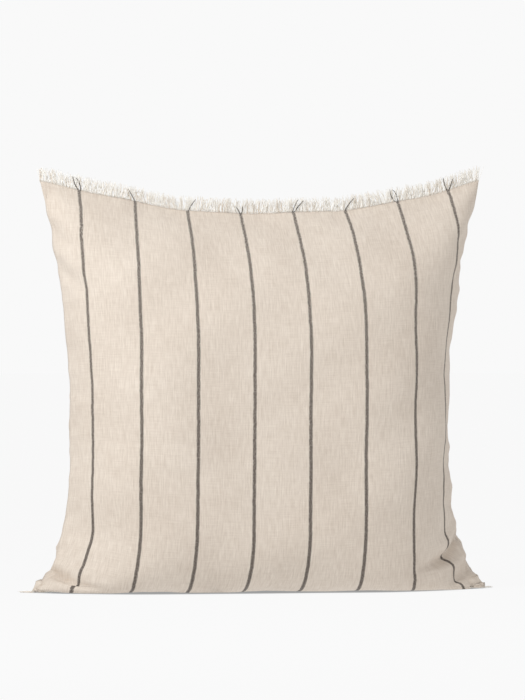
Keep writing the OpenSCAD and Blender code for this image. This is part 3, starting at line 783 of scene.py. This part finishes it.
top_line, bottom_line = seam_mean[-1], seam_mean[0]
top_front_yarns = fringe("yarns_top_front", top_line, upright(-1), "top_fringe_front", 600, 0.0012, -0.0005,
                         dark_ends=DARK_ENDS)
top_back_yarns = fringe("yarns_top_back", top_line, upright(1), "top_fringe_back", 600, 0.0012, 0.0005)
foot_front_yarns = fringe("yarns_foot_front", bottom_line, flat_back, "bottom_fringe_front", 560, 0.0022, 0.0,
                          (0.0005, 0.0011))
foot_back_yarns = fringe("yarns_foot_back", bottom_line, flat_back, "bottom_fringe_back", 560, 0.0012, 0.0,
                         (0.0014, 0.0021))


# ---------------------------------------------------------------- stitches
def stitches(name, line, node, radius=0.0003, pitch=0.0034, gap=0.0009, sides=6, extra=None):
    """Dashes of thread, pitch long and gap apart, along a line of points and maybe an extra line."""
    lines = [line] + ([extra] if extra is not None else [])
    paths = []
    for points in lines:
        seg = np.linalg.norm(np.diff(points, axis=0), axis=1)
        arc = np.concatenate([[0], np.cumsum(seg)])
        count = int(arc[-1] / (pitch + gap))
        start = np.arange(count) * (pitch + gap) + gap / 2
        at = start[:, None] + np.linspace(0, 1, 5)[None] * pitch
        path = np.stack([np.interp(at, arc, points[:, k]) for k in range(3)], -1)
        paths.append(path)
    paths = np.concatenate(paths)
    radii = radius * np.array([0.55, 0.95, 1, 0.95, 0.55])[None].repeat(len(paths), 0)
    piece = tubes(name, paths, radii, sides, np.full(len(paths), 0.5), [thread])
    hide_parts(node)
    return piece


SEAM_THREAD_R = 0.0004
SEAM_ALLOWANCE = 0.0009            # from the cloth's edge to the stitches
stitches("stitches_top", seam_mean[-1, 1:-1] - np.array([0, 0, SEAM_ALLOWANCE]), "top_seam_thread",
         SEAM_THREAD_R)
stitches("stitches_foot", seam_mean[0, 1:-1] + np.array([0, 0, 0.0012]), "bottom_seam_thread", SEAM_THREAD_R)
stitches("stitches_left", seam_mean[3:-1, 0] + np.array([SEAM_ALLOWANCE, 0, 0]), "left_seam_thread",
         SEAM_THREAD_R)
stitches("stitches_right", seam_mean[3:-1, -1] - np.array([SEAM_ALLOWANCE, 0, 0]), "right_seam_thread",
         SEAM_THREAD_R)
run = np.linspace(-ZIP_HALF - 0.005, ZIP_HALF + 0.005, 120)
for name, sign in (("zip_stitching_upper", 1), ("zip_stitching_lower", -1)):
    height = np.full_like(run, ZIP_Z + sign * STITCH_OFF)
    line = np.stack([run, np.full_like(run, ZIP_Y + 0.00025), height], -1)
    stitches(name.replace("zip_stitching", "stitches_zip"), line, name, 0.00032, 0.0036, 0.0009)
middle = cloth[1][zip_row] + np.array([0, -0.0003, 0])
SHUT_X = ZIP_HALF + 0.014          # beyond it the back panels' edges are sewn together
left = middle[middle[:, 0] < -SHUT_X][2:]
right = middle[middle[:, 0] > SHUT_X][:-2]
stitches("stitches_zip_ends", left, "zip_end_threads", 0.0003, extra=right)


# ---------------------------------------------------------------- zip
def coil(name, sign, node):
    """Teeth of one side: a coil of plastic that stands on its tape."""
    lo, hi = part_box(node)
    wire = 0.00036
    tooth_pitch = 0.0015
    turns = int((hi[0] - lo[0]) / tooth_pitch)
    t = np.arange(turns * 12 + 1) / 12
    z_mid, y_mid = (lo[2] + hi[2]) / 2, (lo[1] + hi[1]) / 2
    z_half, y_half = (hi[2] - lo[2]) / 2 - wire, (hi[1] - lo[1]) / 2 - wire
    a = 2 * np.pi * t
    # squared-off loops, with a thicker head where the two sides meet; the sides' teeth alternate
    stagger = 0.00037 if sign > 0 else 0
    path = np.stack([lo[0] + 0.0004 + t * (hi[0] - lo[0] - 0.0008) / turns + stagger,
                     y_mid + y_half * np.sign(np.sin(a)) * np.abs(np.sin(a)) ** 0.7,
                     z_mid - sign * z_half * np.sign(np.cos(a)) * np.abs(np.cos(a)) ** 0.7], -1)
    path[:, 0] = np.minimum(path[:, 0], hi[0] - wire)
    radii = wire * (1 + 0.25 * np.clip(np.cos(a), 0, 1) ** 4)
    piece = tubes(name, path[None], radii[None], 6, np.array([0.5]), [coil_plastic],
                  up=(1.0, 0.0, 0.0))
    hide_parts(node)
    return piece


coil("teeth_upper", 1, "zip_coil_upper")
coil("teeth_lower", -1, "zip_coil_lower")


def repaint(node, mat):
    """Gives a CAD node that stays its material."""
    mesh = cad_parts[node].data
    mesh.materials.clear()
    mesh.materials.append(mat)


for node, mat in (("zip_tape_upper", tape_cloth), ("zip_tape_lower", tape_cloth), ("zip_top_stops", metal),
                  ("zip_bottom_stop", metal), ("zip_slider", metal), ("zip_pull_tab", metal)):
    repaint(node, mat)


# the blank care label hangs from the lower tape, inside the cover, folded double
label_lo, label_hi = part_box("care_label")
label_cols = np.linspace(label_lo[0], label_hi[0], 9)
label_rows = np.linspace(0, 1, 13)
drop_z = label_hi[2] + (label_lo[2] - label_hi[2]) * np.concatenate([label_rows, label_rows[-2::-1]])
behind = np.concatenate([0.0034 + 0 * label_rows, 0.0026 + 0 * label_rows[1:]])
label_x = (label_lo[0] + label_hi[0]) / 2
column = int(round(label_x / (2 * WAIST_HALF_W) * CELLS + CELLS / 2))
below = cloth[1][:zip_row, column]        # the cover's cloth, whose inside the label follows
order = np.argsort(below[:, 2])
label_y = np.interp(drop_z, below[order, 2], below[order, 1])
label_parts = np.broadcast_arrays(label_cols[None, :], (label_y - behind)[:, None], drop_z[:, None])
label_grid = np.stack(label_parts, -1)
label_uv = np.stack(np.meshgrid(label_cols, np.arange(len(drop_z)) * 0.002), -1)
label_normal = np.tile([0, 1.0, 0], label_grid.shape[:2] + (1,))
label = shell("care_ribbon", label_grid, label_uv, label_normal, 0.0003, [label_cloth], 1)
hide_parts("care_label")


# ---------------------------------------------------------------- the pad inside
PAD_SHARE, FILLING_SHARE = 0.965, 0.945    # of the cover's size
CASING_T = 0.0008


def inner_skin(keep, step=2):
    """The cover's shape, drawn in on all sides to a share keep, and well out of the four corners. It
    takes every step-th of the cloth's points."""
    p = simulated[:, ::step, ::step].copy()
    y = seam_roll(p[..., 0])
    z = p[..., 2]
    p[..., 1] = y + (p[..., 1] - y) * (keep - 0.02)
    p[..., 0] *= keep - 0.13 * np.exp(-z / 0.055) - 0.03 * (z / 0.7) ** 8
    p[..., 2] = 0.008 + z * (keep - 0.008)
    for e in EDGES:
        p[0][e] = p[1][e] = (p[0][e] + p[1][e]) / 2
    return p


pad = inner_skin(PAD_SHARE)
pad_normals = unit(area_normals(pad))
pad_grid = np.arange(pad.shape[1], dtype=float) * 2
pad_uv = panel_uv(pad_grid, pad_grid)
pad_front = shell("pad_front", pad[0] - SEAM_GAP, pad_uv, pad_normals[0], CASING_T, [pad_cloth], -1)
pad_back = shell("pad_back", pad[1] + SEAM_GAP, pad_uv, pad_normals[1], CASING_T, [pad_cloth], 1)
pad_mean = (pad[0] + pad[1]) / 2
rim = np.concatenate([pad_mean[1:-1, 0], pad_mean[-1, 1:-1], pad_mean[-2:0:-1, -1]])
stitches("stitches_pad", rim, "pad_seam_thread", 0.0003)

core = inner_skin(FILLING_SHARE, 4)
core[..., 2] += 0.004
rows = core.shape[1]
core_faces = grid_faces(rows, rows)
core_faces = np.concatenate([core_faces, core_faces[:, ::-1] + rows * rows])
filling = new_piece("pad_fibre", core.reshape(-1, 3), core_faces, mats=[pad_fibre])
bm = bmesh.new()
bm.from_mesh(filling.data)
bmesh.ops.remove_doubles(bm, verts=bm.verts, dist=1e-6)
bm.to_mesh(filling.data)
bm.free()
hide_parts("pad_filling")

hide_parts("front_panel")
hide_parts("back_panel_upper")
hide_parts("back_panel_lower")
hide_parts("pad_casing_front")
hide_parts("pad_casing_back")


# ---------------------------------------------------------------- stage, lights, camera
def aim(obj, place, target):
    obj.location = place
    obj.rotation_euler = (Vector(target) - Vector(place)).to_track_quat("-Z", "Y").to_euler()


def area_light(name, place, target, size, power, color=(1, 1, 1)):
    data = bpy.data.lights.new(name, "AREA")
    data.shape = "DISK"
    data.size = size
    data.energy = power
    data.color = color
    lamp = bpy.data.objects.new(name, data)
    bpy.context.scene.collection.objects.link(lamp)
    aim(lamp, place, target)


PAPER = 0.947                    # the plain pale surroundings
AMBIENT = 0.69                   # how strongly they light the pillow
FLOOR_GLOW = 0.972               # the floor's own light, which melts it into the backdrop
FLOOR_BOUNCE = 0.93              # and how strongly it lights the pillow
CONTACT_SHADOW_W = 0.035                  # width of the painted contact shadow, a dark line where the foot meets the floor
FLOOR_HALF = 40.0
floor_mesh = bpy.data.meshes.new("floor")
corners = [(x * FLOOR_HALF, y * FLOOR_HALF, 0) for x, y in ((-1, -1), (1, -1), (1, 1), (-1, 1))]
floor_mesh.from_pydata(corners, [], [(0, 1, 2, 3)])
floor = bpy.data.objects.new("floor", floor_mesh)
bpy.context.scene.collection.objects.link(floor)
paper = Graph("pale_floor")
floor_mesh.materials.append(paper.finish((0.03, 0.03, 0.03, 1), 0.9, specular=0.0))
paper.shader.inputs["Emission Color"].default_value = (PAPER, PAPER, PAPER, 1)
glow = paper.nodes.new("ShaderNodeLightPath")
# painted shadow: ambient occlusion darkens the floor's glow next to the pillow
painted_contact_shadow = paper.nodes.new("ShaderNodeAmbientOcclusion")
painted_contact_shadow.inputs["Distance"].default_value = CONTACT_SHADOW_W
seen_floor = paper.times(paper.remap(painted_contact_shadow.outputs["AO"], 0.35, 0.9, 0.35, 1.0), FLOOR_GLOW)
strength = paper.remap(glow.outputs["Is Camera Ray"], 0, 1, FLOOR_BOUNCE, seen_floor)
paper.links.new(strength, paper.shader.inputs["Emission Strength"])

world = bpy.data.worlds.new("studio")
bpy.context.scene.world = world
world.use_nodes = True
background = world.node_tree.nodes["Background"]
background.inputs[0].default_value = (PAPER, PAPER, PAPER, 1)
seen = world.node_tree.nodes.new("ShaderNodeLightPath")      # the room looks pale but lights softly
level = world.node_tree.nodes.new("ShaderNodeMapRange")
level.inputs["To Min"].default_value = AMBIENT
level.inputs["To Max"].default_value = 1.0
world.node_tree.links.new(seen.outputs["Is Camera Ray"], level.inputs["Value"])
world.node_tree.links.new(level.outputs[0], background.inputs[1])
bpy.context.scene.view_settings.view_transform = "Standard"
area_light("key", (-1.9, -1.9, 2.25), (0, 0, 0.45), 0.9, 54, (0.97, 0.985, 1.0))

AZIMUTH = math.radians(-10.5)
ELEVATION = math.radians(0.3)
DISTANCE = 10.0
FRAME_H = 1.206                  # height of the view at the pillow
AIM_X, AIM_Z = 0.0035, 0.414
camera_data = bpy.data.cameras.new("camera")
camera = bpy.data.objects.new("camera", camera_data)
bpy.context.scene.collection.objects.link(camera)
camera_data.lens = camera_data.sensor_width * DISTANCE / FRAME_H
flat_d = DISTANCE * math.cos(ELEVATION)
aim(camera, (math.sin(AZIMUTH) * flat_d, -math.cos(AZIMUTH) * flat_d, AIM_Z + DISTANCE * math.sin(ELEVATION)),
    (AIM_X, 0, AIM_Z))
bpy.context.scene.camera = camera
